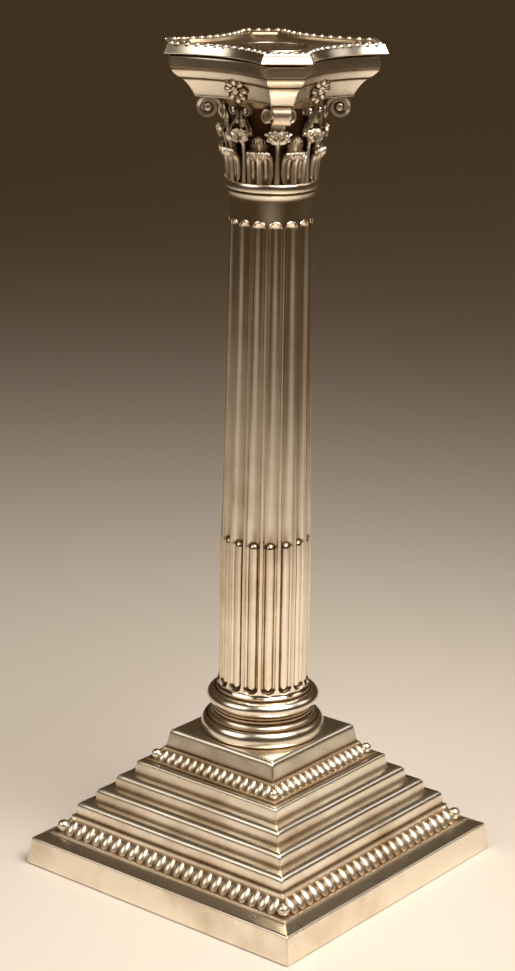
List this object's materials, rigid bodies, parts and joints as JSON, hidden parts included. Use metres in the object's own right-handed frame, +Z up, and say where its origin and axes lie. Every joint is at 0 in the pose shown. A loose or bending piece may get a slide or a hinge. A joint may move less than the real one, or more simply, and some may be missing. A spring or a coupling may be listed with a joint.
{
  "type": "candlestick",
  "caption": "Silver candlestick: fluted column on a square stepped foot with beaded mouldings, leaf capital and a lift-out nozzle.",
  "frame": {"origin": "middle of the baize pad's underside, on the table", "axes": "+Z up the column; the sides of the square foot run along X and Y"},
  "size_m": [0.1216, 0.1216, 0.299],
  "materials": {
    "stamped_silver": "polished sheet silver, die-stamped",
    "spun_silver": "polished silver, spun",
    "fluted_silver": "polished silver, drawn and fluted",
    "chased_silver": "cast and chased silver with dark recesses",
    "bead_silver": "polished beaded silver wire with dark recesses",
    "nozzle_silver": "polished sheet silver",
    "inner_silver": "satin silver, unpolished inside",
    "baize": "green wool baize",
    "board_wood": "plain softwood",
    "pitch": "black pitch and plaster loading",
    "iron": "mild steel, unpolished"
  },
  "bodies": {
    "candlestick": {"base_shell": "stamped_silver", "lower_bead_moulding": "bead_silver", "upper_bead_moulding": "bead_silver", "column_base": "spun_silver", "column_shaft": "fluted_silver", "neck_ring": "spun_silver", "capital_bell": "chased_silver", "lower_leaves": "chased_silver", "upper_leaves": "chased_silver", "corner_volutes": "chased_silver", "inner_scrolls": "chased_silver", "fleurons": "chased_silver", "abacus_shell": "stamped_silver", "abacus_plate": "stamped_silver", "candle_well": "inner_silver", "well_bottom": "inner_silver", "baize_pad": "baize", "base_board": "board_wood", "base_loading": "pitch", "column_loading": "pitch", "tie_rod": "iron", "lower_nut": "iron", "upper_nut": "iron", "lower_washer": "iron", "upper_washer": "iron"},
    "nozzle": {"nozzle_pan": "nozzle_silver", "nozzle_beads": "bead_silver", "nozzle_seat": "inner_silver", "nozzle_socket": "nozzle_silver", "socket_bottom": "inner_silver"}
  },
  "joints": [
    {"name": "nozzle_lift", "type": "slide", "parent": "candlestick", "child": "nozzle", "axis": [0, 0, 1], "range_m": [0, 0.03]}
  ]
}
